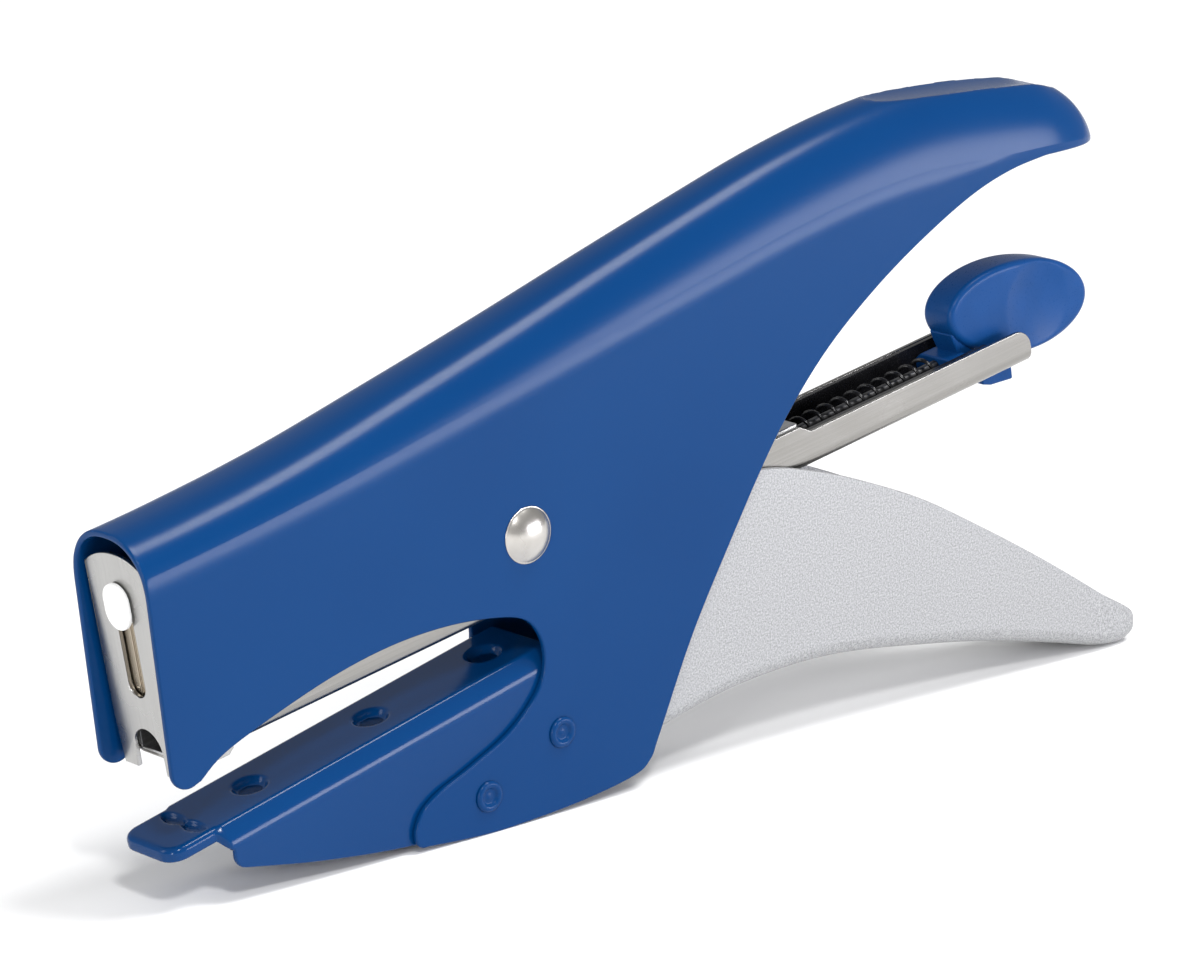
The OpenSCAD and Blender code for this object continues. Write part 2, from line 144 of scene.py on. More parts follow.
def lookup(rows, x):
    """Values of the sorted rows at x, straight between two rows."""
    for a, b in zip(rows, rows[1:]):
        if x <= b[0]:
            t = (x - a[0]) / (b[0] - a[0])
            return [p + (q - p) * t for p, q in zip(a[1:], b[1:])]
    return list(rows[-1][1:])


def steps_between(start, end, size):
    """Evenly spaced values from start up to, but without, end."""
    n = max(1, round((end - start) / size))
    return [start + (end - start) * k / n for k in range(n)]


def smooth(t):
    """0 to 1 with soft ends."""
    t = min(max(t, 0.0), 1.0)
    return t * t * (3 - 2 * t)


def turned(point, angle):
    """A point of the side view turned about the origin."""
    c, s = math.cos(angle), math.sin(angle)
    return point[0] * c - point[1] * s, point[0] * s + point[1] * c


def grid(bm, rows, closed=False):
    """Quads between rows of points. Returns the vertices in the same rows."""
    verts = [[bm.verts.new(p) for p in row] for row in rows]
    for a, b in zip(verts, verts[1:]):
        for j in range(len(a) if closed else len(a) - 1):
            k = (j + 1) % len(a)
            bm.faces.new((a[j], a[k], b[k], b[j]))
    return verts


def bridge(bm, a, b, closed=True):
    """Quads between two vertex lists of one length."""
    n = len(a)
    for k in range(n if closed else n - 1):
        q = (k + 1) % n
        bm.faces.new((a[k], a[q], b[q], b[k]))


def revolve(bm, profile, centre, sides=64):
    """Closed body of revolution about Y. The profile holds radius and Y, ends on the axis."""
    rows = []
    for r, y in profile[1:-1]:
        rows.append([(centre[0] + r * math.cos(2 * math.pi * k / sides), y,
                      centre[1] + r * math.sin(2 * math.pi * k / sides))
                     for k in range(sides)])
    verts = grid(bm, rows, closed=True)
    for ring, tip in ((verts[0], profile[0]), (verts[-1], profile[-1])):
        top = bm.verts.new((centre[0], tip[1], centre[1]))
        for k in range(sides):
            bm.faces.new((ring[k], ring[(k + 1) % sides], top))


def prism(bm, outline, low, high, axis="y"):
    """Closed prism over an outline in the side view, or across X with axis "x"."""
    def at(p, d):
        return (p[0], d, p[1]) if axis == "y" else (d, p[0], p[1])
    a = [bm.verts.new(at(p, low)) for p in outline]
    b = [bm.verts.new(at(p, high)) for p in outline]
    bm.faces.new(a)
    bm.faces.new(b)
    bridge(bm, a, b)


def tube(bm, path, radius, sides=10):
    """Closed wire along a path of points."""
    rows = []
    side = Vector((0, 1, 0))
    for i, p in enumerate(path):
        ahead = Vector(path[min(i + 1, len(path) - 1)]) - Vector(path[max(i - 1, 0)])
        ahead.normalize()
        side = side - ahead * side.dot(ahead)
        if side.length < 1e-4:
            side = ahead.orthogonal()
        side.normalize()
        up = ahead.cross(side)
        rows.append([Vector(p) + radius * (side * math.cos(2 * math.pi * k / sides)
                                           + up * math.sin(2 * math.pi * k / sides))
                     for k in range(sides)])
    verts = grid(bm, rows, closed=True)
    bm.faces.new(verts[0])
    bm.faces.new(verts[-1])


# ---------- objects ----------


def face_up(bm, wanted):
    """Turns all faces over if most of the area looks away from the wanted direction."""
    total = sum((f.normal * f.calc_area() for f in bm.faces), Vector())
    if total.dot(wanted) < 0:
        bmesh.ops.reverse_faces(bm, faces=bm.faces[:])


def place(name, bm, where, look, body, nodes=(), up=None):
    """Makes the object, places it, hides the nodes it stands for, and hangs it on the body it
    rides on.
    """
    bmesh.ops.recalc_face_normals(bm, faces=bm.faces[:])
    if up is not None:
        bm.normal_update()
        face_up(bm, up)
    mesh = bpy.data.meshes.new(name)
    bm.to_mesh(mesh)
    bm.free()
    mesh.transform(where)
    mesh.shade_smooth()
    mesh.materials.append(look)
    obj = bpy.data.objects.new(name, mesh)
    bpy.context.scene.collection.objects.link(obj)
    if body:
        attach(obj, body)
    if nodes:
        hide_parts(*nodes)
    return obj


def solidify(obj, thickness):
    """Sheet thickness, on the inner side."""
    mod = obj.modifiers.new("sheet", "SOLIDIFY")
    mod.thickness = thickness * MM
    mod.offset = -1
    return obj


def soften(obj, width, segments=3, angle=40):
    """Rounded edges of that width in millimetres, with flat faces kept flat in the shading."""
    mod = obj.modifiers.new("edges", "BEVEL")
    mod.width = width * MM
    mod.segments = segments
    mod.limit_method = "ANGLE"
    mod.angle_limit = math.radians(angle)
    mod.use_clamp_overlap = False
    normals = obj.modifiers.new("normals", "WEIGHTED_NORMAL")
    normals.weight = 60
    return obj


def flatten(obj):
    """Replaces the object's modifiers by their result."""
    deps = bpy.context.evaluated_depsgraph_get()
    mesh = bpy.data.meshes.new_from_object(obj.evaluated_get(deps))
    obj.modifiers.clear()
    obj.data = mesh
    return obj


def drill(obj, where, centre, radius, reach):
    """Cuts a round hole across the object."""
    bm = bmesh.new()
    revolve(bm, [(0, -reach), (radius, -reach), (radius, reach), (0, reach)], centre)
    bmesh.ops.recalc_face_normals(bm, faces=bm.faces[:])
    mesh = bpy.data.meshes.new("drill")
    bm.to_mesh(mesh)
    bm.free()
    mesh.transform(where)
    tool = bpy.data.objects.new("drill", mesh)
    bpy.context.scene.collection.objects.link(tool)
    mod = obj.modifiers.new("hole", "BOOLEAN")
    mod.operation = "DIFFERENCE"
    mod.object = tool
    flatten(obj)
    bpy.data.objects.remove(tool)
    return obj


# ---------- materials ----------


class Look:
    """Node material with helpers for noise, colour, gloss and relief."""

    def __init__(self, name, **sockets):
        self.mat = bpy.data.materials.new(name)
        self.mat.use_nodes = True
        self.tree = self.mat.node_tree
        self.shader = self.tree.nodes["Principled BSDF"]
        self.normal = None
        for key, value in sockets.items():
            self.shader.inputs[key.replace("_", " ")].default_value = value

    def add(self, kind, **settings):
        node = self.tree.nodes.new(kind)
        for key, value in settings.items():
            setattr(node, key, value)
        return node

    def noise(self, size, detail=2.0, turn=0.0, roughness=0.5):
        """Noise whose grain measures size millimetres, along axes turned about Y."""
        where = self.add("ShaderNodeTexCoord")
        fit = self.add("ShaderNodeMapping", vector_type="TEXTURE")
        fit.inputs["Rotation"].default_value = (0, turn, 0)
        fit.inputs["Scale"].default_value = [s * MM for s in size]
        tex = self.add("ShaderNodeTexNoise")
        tex.inputs["Scale"].default_value = 1.0
        tex.inputs["Detail"].default_value = detail
        tex.inputs["Roughness"].default_value = roughness
        self.tree.links.new(where.outputs["Object"], fit.inputs["Vector"])
        self.tree.links.new(fit.outputs["Vector"], tex.inputs["Vector"])
        return tex.outputs["Fac"]

    def spread(self, value, low, high, start=0.3, end=0.7):
        """The noise stretched to run from low to high."""
        node = self.add("ShaderNodeMapRange")
        node.inputs["From Min"].default_value = start
        node.inputs["From Max"].default_value = end
        node.inputs["To Min"].default_value = low
        node.inputs["To Max"].default_value = high
        self.tree.links.new(value, node.inputs["Value"])
        return node.outputs["Result"]

    def colour(self, value, first, second):
        """Base colour between two colours by the value."""
        node = self.add("ShaderNodeMix", data_type="RGBA")
        colour_a, colour_b = [s for s in node.inputs if s.type == "RGBA"]
        colour_a.default_value = (*first, 1)
        colour_b.default_value = (*second, 1)
        self.tree.links.new(value, node.inputs["Factor"])
        out = [s for s in node.outputs if s.type == "RGBA"][0]
        self.tree.links.new(out, self.shader.inputs["Base Color"])

    def gloss(self, value, low, high):
        """Roughness between two values."""
        out = self.spread(value, low, high)
        self.tree.links.new(out, self.shader.inputs["Roughness"])

    def relief(self, value, depth, strength=1.0):
        """Bump of that depth in millimetres, over the relief so far."""
        node = self.add("ShaderNodeBump")
        node.inputs["Strength"].default_value = strength
        node.inputs["Distance"].default_value = depth * MM
        self.tree.links.new(value, node.inputs["Height"])
        if self.normal:
            self.tree.links.new(self.normal, node.inputs["Normal"])
        self.normal = node.outputs["Normal"]
        self.tree.links.new(self.normal, self.shader.inputs["Normal"])


def even(size):
    """Grain of one size along all three axes."""
    return size, size, size


def satin_blue():
    """Satin paint of the housing, with a very fine orange peel."""
    look = Look("satin_blue_paint", Specular_IOR_Level=0.13)
    cloud = look.noise(even(30), 1)
    peel = look.noise(even(0.5), 2)
    look.colour(look.spread(cloud, 0, 1), (0.0006, 0.033, 0.128), (0.0008, 0.0355, 0.135))
    look.gloss(peel, 0.2, 0.26)
    look.relief(peel, 0.006, 0.35)
    return look.mat


def gloss_blue():
    """Smoother and glossier paint of the anvil arm."""
    look = Look("gloss_blue_paint", Specular_IOR_Level=0.18)
    cloud = look.noise(even(30), 1)
    wave = look.noise(even(1.4), 1)
    look.colour(look.spread(cloud, 0, 1), (0.0006, 0.032, 0.125), (0.0008, 0.035, 0.134))
    look.gloss(wave, 0.12, 0.16)
    look.relief(wave, 0.012, 0.5)
    return look.mat


def silver_paint():
    """Silver paint of the lever, with its fine flake grain."""
    look = Look("silver_grain_paint", Metallic=0.3, Specular_IOR_Level=0.25)
    grain = look.noise(even(0.3), 2, roughness=0.7)
    cloud = look.noise(even(14), 2)
    look.colour(look.spread(grain, 0, 1), (0.2, 0.203, 0.206), (0.42, 0.424, 0.428))
    look.gloss(cloud, 0.46, 0.54)
    look.relief(grain, 0.045, 0.5)
    return look.mat


def brushed(name, dark, light, size, turn, rough, depth=0.006, metal=1.0):
    """Brushed metal, its streaks as long as the largest side of size."""
    look = Look(name, Metallic=metal)
    streak = look.noise(size, 2, turn)
    cloud = look.noise((12, 7, 7), 2, turn)
    look.colour(look.spread(streak, 0, 1), dark, light)
    look.gloss(cloud, *rough)
    look.relief(streak, depth, 0.6)
    return look.mat


def plastic(name, dark, light, rough, depth=0.01, shine=0.45):
    """Moulded plastic with a fine texture."""
    look = Look(name, Specular_IOR_Level=shine)
    cloud = look.noise(even(4), 3)
    skin = look.noise(even(0.3), 2)
    look.colour(look.spread(cloud, 0, 1), dark, light)
    look.gloss(skin, *rough)
    look.relief(skin, depth, 0.4)
    return look.mat


# grain of brushed metal along the magazine and up the nose
ALONG = (25, 0.16, 0.16)
UPRIGHT = (0.16, 0.16, 25)
LOOKS = {
    "housing": satin_blue(),
    "anvil": gloss_blue(),
    "lever": silver_paint(),
    "channel": brushed("satin_nickel", (0.28, 0.272, 0.256), (0.32, 0.312, 0.295), ALONG,
                       -MAG_ANG, (0.2, 0.28), 0.002),
    "nose": brushed("nose_nickel", (0.38, 0.376, 0.368), (0.43, 0.426, 0.418), UPRIGHT,
                    -MAG_ANG, (0.24, 0.3), 0.002),
    "rivet": brushed("polished_nickel", (0.46, 0.44, 0.41), (0.54, 0.52, 0.49), even(3),
                     0, (0.24, 0.3), 0.002),
    "plain": brushed("plain_steel", (0.42, 0.42, 0.42), (0.56, 0.56, 0.57), ALONG,
                     -MAG_ANG, (0.28, 0.4)),
    "warm": brushed("warm_steel", (0.26, 0.22, 0.165), (0.48, 0.42, 0.34), UPRIGHT,
                    -MAG_ANG, (0.25, 0.4)),
    "dark": brushed("dark_steel", (0.07, 0.07, 0.072), (0.14, 0.14, 0.145), (2, 0.4, 0.4),
                    0, (0.3, 0.45)),
    "black": plastic("black_enamel", (0.006, 0.006, 0.007), (0.014, 0.014, 0.016),
                     (0.16, 0.3)),
    "brass": brushed("bush_brass", (0.45, 0.33, 0.14), (0.62, 0.48, 0.24), (2, 0.3, 0.3),
                     0, (0.3, 0.4)),
    "knob": plastic("knob_blue", (0.0025, 0.042, 0.16), (0.0035, 0.047, 0.178), (0.26, 0.36),
                    shine=0.12),
    "button": plastic("nylon_white", (0.86, 0.86, 0.85), (0.93, 0.93, 0.92), (0.25, 0.35)),
}

# ---------- housing ----------

# front edge: its X at the height of the rivet, its lean to the foot, and where the lean starts
NOSE_X, NOSE_LEAN = -69.2, 0.1173
FRONT = -70.3
LEAN_START = -50
# corners at the foot of the nose and of the skirt: middle and radius
NOSE_CORNER, NOSE_CORNER_R = (-63.9, -22), 2.9
SKIRT_CORNER, SKIRT_CORNER_R = (-20.6, -42), 2
# the side has columns down to its lower edge from JOIN on
JOIN = 40.0
# the inner skin is drawn in behind TAIL, by this share of the length left
TAIL = 110.0
TAIL_END = 123.7
TAIL_INNER = 0.9
# places of the rows: from, to and spacing
COLUMNS = ((NOSE_X, JOIN, 1.6), (JOIN, 72, 1.5), (72, 119, 0.8), (119, TAIL_END, 0.4))
# the back is the upper part of a superellipse, in so many steps
ARCH = 48
CREST_START = math.radians(25)
CREST_POWER = 0.85
# shoulder under the crease of the side: height, depth, steps, and where it has faded out
SHOULDER_HIGH = 3.4
SHOULDER_IN = 0.5
SHOULDER_STEPS = (0, 0.25, 0.5, 0.75, 0.96)
SHOULDER_END, SHOULDER_FADE = 106, 24
# thumb rest: start, length, depth and radius across
REST_START, REST_LONG = 77.5, 40
REST_DEEP, REST_R = 2.3, 22.5
LOW_ROWS = spline(BELLY, 6)
CREST_ROWS = spline(CREST, 10)


def nose_x(z):
    """The front edge of the housing leans back toward the foot."""
    return NOSE_X - NOSE_LEAN * z


def rest_floor(x, y, crest):
    """Height of the dished floor of the thumb rest, which cuts into the crest."""
    s = (x - REST_START) / REST_LONG
    if not 0 < s < 1:
        return crest
    return crest - REST_DEEP * math.sin(math.pi * s) ** 0.6 + y * y / (2 * REST_R)


def housing_outline():
    """Lower edge from the nose corner to the place where the columns of the side begin."""
    belly = [p for p in LOW_ROWS if p[0] < JOIN - 0.4]
    return (arc(NOSE_CORNER, NOSE_CORNER_R, 186, 300, 12) + spline(THROAT, 5)
            + arc(SKIRT_CORNER, SKIRT_CORNER_R, 180, 250, 8) + belly)


def low_at(x):
    """Height of the lower edge of the handle."""
    belly_end = BELLY[-1][0]
    if x < belly_end:
        return lookup(LOW_ROWS, x)[0]
    return HANDLE_LOW - HANDLE_DROP * ((x - belly_end) / HANDLE_LONG) ** 2


def back(half, depth):
    """Section of the back above the creases, from the near side to the far side."""
    widest = math.cos(CREST_START) ** CREST_POWER
    lowest = math.sin(CREST_START) ** CREST_POWER
    points = []
    for k in range(ARCH + 1):
        turn = CREST_START + (math.pi - 2 * CREST_START) * k / ARCH
        c, s = math.cos(turn), math.sin(turn)
        y = -half * math.copysign(abs(c) ** CREST_POWER, c) / widest
        points.append((y, depth * (s ** CREST_POWER - lowest) / (1 - lowest)))
    return points


def arch_row(x, inset, tail):
    """One row over the pressing, from the foot of the near shoulder to that of the far one."""
    crest, depth, half = lookup(CREST_ROWS, x)
    ridge = crest - depth
    half -= inset
    depth = max(depth - inset, 0.1)
    along = x if x < TAIL else TAIL + (x - TAIL) * tail
    lean = min(1, max(0, (LEAN_START - x) / (LEAN_START - FRONT)))
    high = SHOULDER_HIGH if x < JOIN else min(SHOULDER_HIGH, 0.4 * (ridge - low_at(x)))
    draw = SHOULDER_IN * smooth((SHOULDER_END - x) / SHOULDER_FADE)
    side = [(half - draw * t * t, ridge - high * (1 - t)) for t in SHOULDER_STEPS]
    section = [(-y, z) for y, z in side]
    section += [(y, min(ridge + z, rest_floor(x, y, crest - inset)))
                for y, z in back(half - draw, depth)]
    section += side[::-1]
    return [(along + (nose_x(z) - FRONT) * lean, y, z) for y, z in section]


def housing_skin(bm, inset, tail):
    """The outer or inner skin of the pressing. Returns its open edge in order."""
    xs = [FRONT] + [x for span in COLUMNS for x in steps_between(*span)] + [TAIL_END]
    rows = grid(bm, [arch_row(x, inset, tail) for x in xs])
    first = xs.index(JOIN)
    outline = housing_outline()
    edges = []
    for end in (0, -1):
        y = rows[0][end].co.y
        rim = [bm.verts.new((p[0], y, p[1])) for p in outline]
        low = [bm.verts.new((r[end].co.x, r[end].co.y, low_at(x)))
               for x, r in zip(xs[first:], rows[first:])]
        ridge = [r[end] for r in rows]
        bm.faces.new(ridge[first::-1] + rim + [low[0]])
        bridge(bm, ridge[first:], low, closed=False)
        edges.append(rim + low)
    bm.faces.new(list(rows[-1]) + [edges[1][-1], edges[0][-1]])
    return edges[0][::-1] + list(rows[0]) + edges[1]


def housing():
    """Blue pressing with its back, both sides and the handle."""
    bm = bmesh.new()
    outer = housing_skin(bm, 0, 1)
    inner = housing_skin(bm, SHEET, TAIL_INNER)
    bridge(bm, outer, inner)
    obj = place("housing_pressing", bm, ABOUT_RIVET, LOOKS["housing"], "housing",
                ["housing_shell"])
    return soften(obj, 0.3, 3, 50)


# ---------- anvil arm ----------

# half width of the flat, and the ends of the arm
FLAT = 5.9
TONGUE_END = -71.9
ARM_BACK = 1.0
# tongue in front: half width, radius of its corners and of its edges
TONGUE_HALF = 6.3
TONGUE_R = 2.9
EDGE_R = 1.0
# the tongue passes into the channel section over this length in front of STEP_U
STEP_U = -62.2
STEP_LONG = 1.6
# dimples: middles, radius, width of their slope and depth
DIMPLES = (-52, -28.6, -6.1)
DIMPLE_R, DIMPLE_SLOPE, DIMPLE_DEEP = 3.0, 1.0, 1.0
# staple pocket: middle, offset of its two halves, their size along and across, and depth
POCKET, POCKET_Y = -64.5, 2.4
POCKET_SIZE, POCKET_DEEP = (1.1, 2.5), 0.8
# section of one side, from the flange in to the flat
ARM_SIDE = [(8, -3.7), (7.95, -3.15), (7.82, -2.6), (7.6, -2.05), (7.28, -1.5), (6.88, -0.9),
            (6.42, -0.3), (6.2, -0.08), (FLAT, 0)]
# lower edge of the flange in the side view, behind its front corner
FLANGE = [(-48, -40.4), (-40.7, -41.6), (-30, -42.9), (-20, -43.6), (-8, -43.9), (4, -43.5),
          (11, -42.2), (15, -39.4), (16, -35.5), (13.6, -27.5)]


def pressed(u, y):
    """Depth of the dimples and of the staple pocket at a point of the flat."""
    depth = 0.0
    for centre in DIMPLES:
        inside = DIMPLE_R - math.hypot(u - centre, y)
        depth += DIMPLE_DEEP * smooth(inside / DIMPLE_SLOPE)
    for side in (-1, 1):
        away = math.hypot((u - POCKET) / POCKET_SIZE[0], (y - POCKET_Y * side) / POCKET_SIZE[1])
        depth = max(depth, POCKET_DEEP * smooth((1.2 - away) / 0.5))
    return depth


def tongue_drop(u, y):
    """How far the rounded edge of the tongue lies below its flat top."""
    a = abs(y) - (TONGUE_HALF - TONGUE_R)
    b = TONGUE_END + TONGUE_R - u
    gap = TONGUE_R - math.hypot(max(a, 0), max(b, 0)) - min(max(a, b), 0)
    gap = min(max(gap, 0), EDGE_R)
    return EDGE_R - math.sqrt(EDGE_R ** 2 - (EDGE_R - gap) ** 2)


def tongue_half(u):
    """Half width of the tongue, less in its rounded corners."""
    ahead = min(max(TONGUE_END + TONGUE_R - u, 0), TONGUE_R)
    return TONGUE_HALF - TONGUE_R + math.sqrt(TONGUE_R ** 2 - ahead ** 2)


def past_step(u):
    """0 on the tongue, 1 where the arm has its full section."""
    return smooth((u - (STEP_U - STEP_LONG)) / STEP_LONG)


def arm_half_row(u):
    """Outer points of one side of a section, from the lower edge in to the flat."""
    half = tongue_half(u)
    tongue = [(half, -2.1), (half, -1.6)]
    for turn in (0, 20, 40, 60, 75, 90):
        y = half - EDGE_R * (1 - math.cos(math.radians(turn)))
        tongue.append((y, -tongue_drop(u, y)))
    tongue.append((half - 1.25, -tongue_drop(u, half - 1.25)))
    t = past_step(u)
    return [(a[0] + (b[0] - a[0]) * t, a[1] + (b[1] - a[1]) * t)
            for a, b in zip(tongue, ARM_SIDE)]


def arm_row(u, inset, columns=34):
    """One section of the arm. With an inset it is the plain inner side of the sheet."""
    side = arm_half_row(u)
    edge = side[-1][0]
    t = past_step(u)
    flat = []
    for k in range(1, columns):
        y = -edge + 2 * edge * k / columns
        flat.append((y, -tongue_drop(u, y) * (1 - t) - pressed(u, y)))
    if inset:
        squeeze = (side[0][0] - inset) / side[0][0]
        share = [k / (len(side) - 1) for k in range(len(side))]
        side = [(y * squeeze, v * (1 - f) - inset * f)
                for (y, v), f in zip(side, share)]
        flat = [(y * squeeze, -inset) for y, _ in flat]
        u += inset * (1 - smooth((u - TONGUE_END) / 4))
    row = [(u, -y, v) for y, v in side] + [(u, y, v) for y, v in flat]
    return row + [(u, y, v) for y, v in reversed(side)]


def arm_stations():
    """Places along the arm, closer together at its edges and pressings."""
    us = [TONGUE_END + d for d in (0, 0.12, 0.35, 0.65, 1, 1.4)]
    while us[-1] < ARM_BACK:
        u = us[-1]
        near = min(abs(u - d) for d in DIMPLES)
        step = 0.2 if -66.2 < u < STEP_U else 0.3 if near < 3.6 else 0.6
        us.append(STEP_U if u < STEP_U < u + step * 1.5 else u + step)
    return us


def to_arm(point):
    """A point of the side view in the frame of the arm."""
    u, v = turned(point, -ANVIL_ANG)
    return u, v + ANVIL_DROP


def flange_outline():
    """Front corner and lower edge of the flange."""
    corner = [(-55.25, -36.6)] + arc((-52.9, -37.2), 2.3, 183, 262, 8)
    return [to_arm(p) for p in corner + spline(FLANGE, 5)]


def arm_skin(bm, inset):
    """The outer or inner skin of the arm. Returns its open edge in order."""
    us = arm_stations()
    verts = grid(bm, [arm_row(u, inset) for u in us])
    bm.faces.new(verts[0])
    start = us.index(STEP_U)
    sides = []
    for end in (0, -1):
        chain = [r[end] for r in verts[start:]]
        y = chain[0].co.y
        low = [bm.verts.new((u, y, v)) for u, v in flange_outline()]
        bm.faces.new(chain + low[::-1])
        sides.append(low)
    lip = range(start + 1)
    return (sides[0][::-1] + [verts[i][0] for i in reversed(lip)] + [verts[i][-1] for i in lip]
            + sides[1] + verts[-1][::-1])


def anvil_arm():
    """Blue pressed arm with its tongue, flat and flanges."""
    bm = bmesh.new()
    bridge(bm, arm_skin(bm, 0), arm_skin(bm, SHEET))
    obj = place("anvil_pressing", bm, IN_ANVIL, LOOKS["anvil"], "housing", ["anvil_arm"])
    return soften(obj, 0.3, 3, 55)


def clinch_rings():
    """Ring rivets of the arm, two on each side."""
    rise = [(0, -1.5), (1.4, -1.5), (1.4, 0), (2.45, 0), (2.42, 0.2), (2.28, 0.42),
            (2.05, 0.57), (1.85, 0.6), (1.6, 0.55), (1.38, 0.4), (1.22, 0.2),
            (1.05, 0.1), (0.6, 0.12), (0.35, 0.22), (0, 0.26)]
    bm = bmesh.new()
    for centre in CLINCH:
        for s in (-1, 1):
            revolve(bm, [(r, s * (HALF + h)) for r, h in rise], centre, 48)
    return place("clinch_rings", bm, ABOUT_RIVET, LOOKS["housing"], "housing",
                 ["clinch_rivets"])


def main_rivet():
    """Nickel rivet with a domed head on both sides."""
    head_r, head_h, shank = 4.4, 1.9, 2.5
    steps = 14
    ball = (head_r ** 2 + head_h ** 2) / (2 * head_h)
    reach = math.asin((head_r - 0.1) / ball)
    angles = [reach * k / steps for k in range(steps + 1)]
    dome = [(ball * math.sin(a), HALF + head_h - ball * (1 - math.cos(a))) for a in angles]
    dome += [(head_r, HALF + 0.12), (head_r - 0.05, HALF - 0.02), (shank, HALF - 0.02)]
    bm = bmesh.new()
    revolve(bm, dome + [(r, -y) for r, y in reversed(dome)], (0, 0), 72)
    return place("main_rivet", bm, ABOUT_RIVET, LOOKS["rivet"], "housing", ["pivot_rivet"])


# ---------- lever ----------


def cup_path(half, top, low, radius):
    """Section of the grip from its near top edge, round below, to its far top edge."""
    q = min(radius, half - 0.05, (top - low) / 2)
    left = arc((-half + q, low + q), q, 180, 270, 8)
    right = arc((half - q, low + q), q, 270, 360, 8)
    return [(-half, top)] + left + right + [(half, top)]


def lever_outline():
    """Front plate, from the top of the grip round the boss and the pin arm to its foot."""
    boss_top = arc((0, 0), 9, 70, 100, 4)
    arm = [(-10, 8.5), (-40, 8)] + arc(PIN, 4, 90, 270, 16) + [(-40, -0.6), (-9, -3.9)]
    foot = [(-2, -7.4), (9.5, -12), (17.5, -26), (20.8, -35)]
    return [(20, 3.6), (9, 6.4)] + boss_top + [turned(p, MAG_ANG) for p in arm] + foot


def grip_rows(inset, radius):
    """Rows of the outer or inner skin of the grip."""
    rows = []
    for x, top, low, half in spline(GRIP, 6):
        bottom = low if inset == 0 else min(low + inset, top - 0.3)
        section = cup_path(max(half - inset, 0.6), top, bottom, radius)
        rows.append([(x, y, z) for y, z in section])
    return rows


def lever():
    """Silver grip with its two front plates on the main rivet and the drive pin."""
    bearing_r, pin_r, across = 3.15, 1.5, 20
    bm = bmesh.new()
    skins = [grid(bm, grip_rows(0, 2.6)), grid(bm, grip_rows(SHEET, 1.8))]
    outer, inner = skins
    bridge(bm, outer[-1], inner[-1], closed=False)
    edges = []
    for end, turn in ((0, 1), (-1, -2)):
        plates = []
        for rows in skins:
            y = rows[0][end].co.y
            rim = [bm.verts.new((p[0], y, p[1])) for p in lever_outline()]
            bm.faces.new([rows[0][end]] + rim + [rows[0][turn]])
            plates.append([r[end] for r in reversed(rows)] + rim + [rows[0][turn]])
        edges.append(plates)
    for a, b in edges:
        bridge(bm, a, b, closed=False)
    bridge(bm, outer[0][1:-1], inner[0][1:-1], closed=False)
    obj = place("lever_grip", bm, ABOUT_RIVET, LOOKS["lever"], "lever", ["lever_handle"])
    drill(obj, ABOUT_RIVET, (0, 0), bearing_r, across)
    drill(obj, ABOUT_RIVET, turned(PIN, MAG_ANG), pin_r, across)
    return soften(obj, 0.28, 3, 50)


# ---------- magazine ----------


def channel():
    """Nickel channel, bent from one sheet, with an ear on each side for the main rivet."""
    bend, thick = 2.1, 0.7
    front, notch = -66, -64.8
    top = ([(front, -4.6), (-9, -4.6), (-6.4, 1)] + arc((0, 0), 6.5, 170, 10, 20)
           + [(9, -4.6), (57.4, -4.6), (59.6, -6)] + arc((MAG_REAR - 3, -9), 3, 90, 0, 10))
    bm = bmesh.new()
    v = MAG_LOW + bend
    ends = {}
    for s in (-1, 1):
        y = s * MAG_HALF
        upper = [bm.verts.new((p[0], y, p[1])) for p in top]
        rear = bm.verts.new((MAG_REAR, y, v))
        fore = bm.verts.new((notch, y, v))
        bm.faces.new(upper + [rear, fore, bm.verts.new((front, y, v))])
        last = (fore, rear)
        for a in (18, 36, 54, 72, 90):
            c, d = math.cos(math.radians(a)), math.sin(math.radians(a))
            at = (s * (MAG_HALF - bend + bend * c), MAG_LOW + bend - bend * d)
            pair = (bm.verts.new((notch, *at)), bm.verts.new((MAG_REAR, *at)))
            bm.faces.new((last[0], last[1], pair[1], pair[0]))
            last = pair
        ends[s] = last
    bm.faces.new((ends[-1][0], ends[-1][1], ends[1][1], ends[1][0]))
    bmesh.ops.recalc_face_normals(bm, faces=bm.faces[:])
    obj = place("magazine_channel_sheet", bm, IN_MAG, LOOKS["channel"], "magazine",
                ["magazine_channel"], up=Vector((0, 0, -1)))
    solidify(obj, thick)
    return soften(obj, 0.14, 2, 50)


def plate_mesh(loops, thickness, edge):
    """Flat plate with rounded edges from closed outlines, the first one outermost."""
    curve = bpy.data.curves.new("outline", "CURVE")
    curve.dimensions = "2D"
    curve.fill_mode = "BOTH"
    curve.extrude = thickness / 2 - edge
    curve.bevel_depth = edge
    curve.bevel_resolution = 2
    curve.offset = -edge
    for loop in loops:
        line = curve.splines.new("POLY")
        line.points.add(len(loop) - 1)
        for point, (x, y) in zip(line.points, loop):
            point.co = (x, y, 0, 1)
        line.use_cyclic_u = True
    obj = bpy.data.objects.new("outline", curve)
    bpy.context.scene.collection.objects.link(obj)
    deps = bpy.context.evaluated_depsgraph_get()
    mesh = bpy.data.meshes.new_from_object(obj.evaluated_get(deps))
    bpy.data.objects.remove(obj)
    bpy.data.curves.remove(curve)
    return mesh


